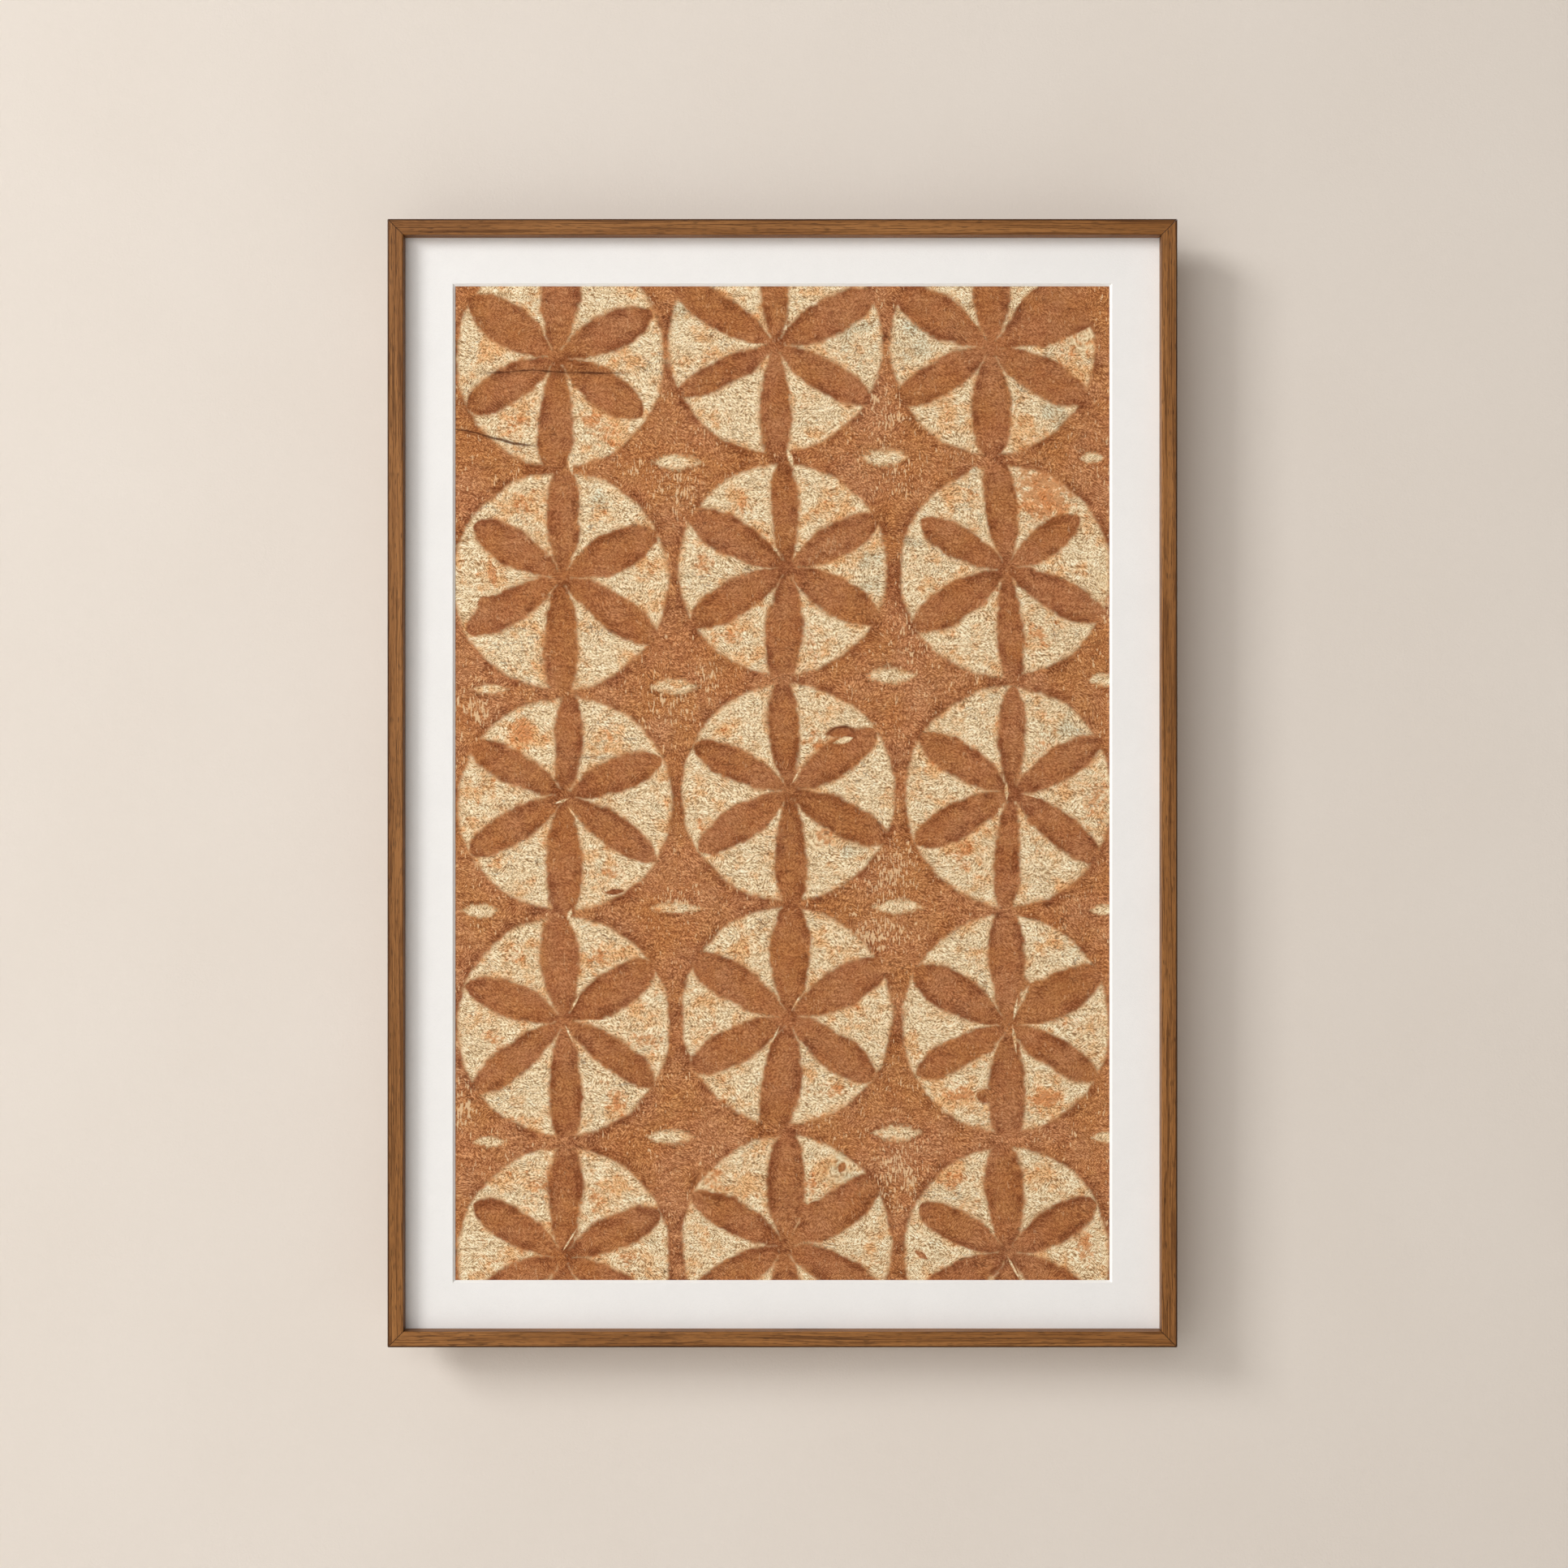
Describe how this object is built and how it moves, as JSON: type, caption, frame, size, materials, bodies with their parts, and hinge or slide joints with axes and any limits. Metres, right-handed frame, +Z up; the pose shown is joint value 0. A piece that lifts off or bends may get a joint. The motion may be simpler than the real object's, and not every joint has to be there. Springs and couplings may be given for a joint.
{
  "type": "tapa bark cloth in a slim wooden picture frame",
  "caption": "Hand-painted tapa bark cloth with petalled rosettes, behind a white bevelled window mat in a slim walnut frame that hangs on a wall.",
  "frame": {"origin": "middle of the top rail's back face, where the frame hangs on the wall", "axes": "+Z up along the frame's height, +Y into the wall, so the cloth faces -Y, and +X to the viewer's right"},
  "size_m": [0.7, 0.028, 1],
  "materials": {
    "walnut": "satin",
    "mat": "matte",
    "bark_cloth": "matte",
    "hardboard": "matte",
    "steel": "satin"
  },
  "bodies": {
    "root": {"frame_top": "walnut", "frame_bottom": "walnut", "frame_left": "walnut", "frame_right": "walnut", "mat_board": "mat", "tapa_cloth": "bark_cloth", "backing_board": "hardboard", "tab_top_1": "steel", "tab_top_2": "steel", "tab_bottom_1": "steel", "tab_bottom_2": "steel", "tab_left_1": "steel", "tab_left_2": "steel", "tab_left_3": "steel", "tab_right_1": "steel", "tab_right_2": "steel", "tab_right_3": "steel"}
  },
  "joints": []
}
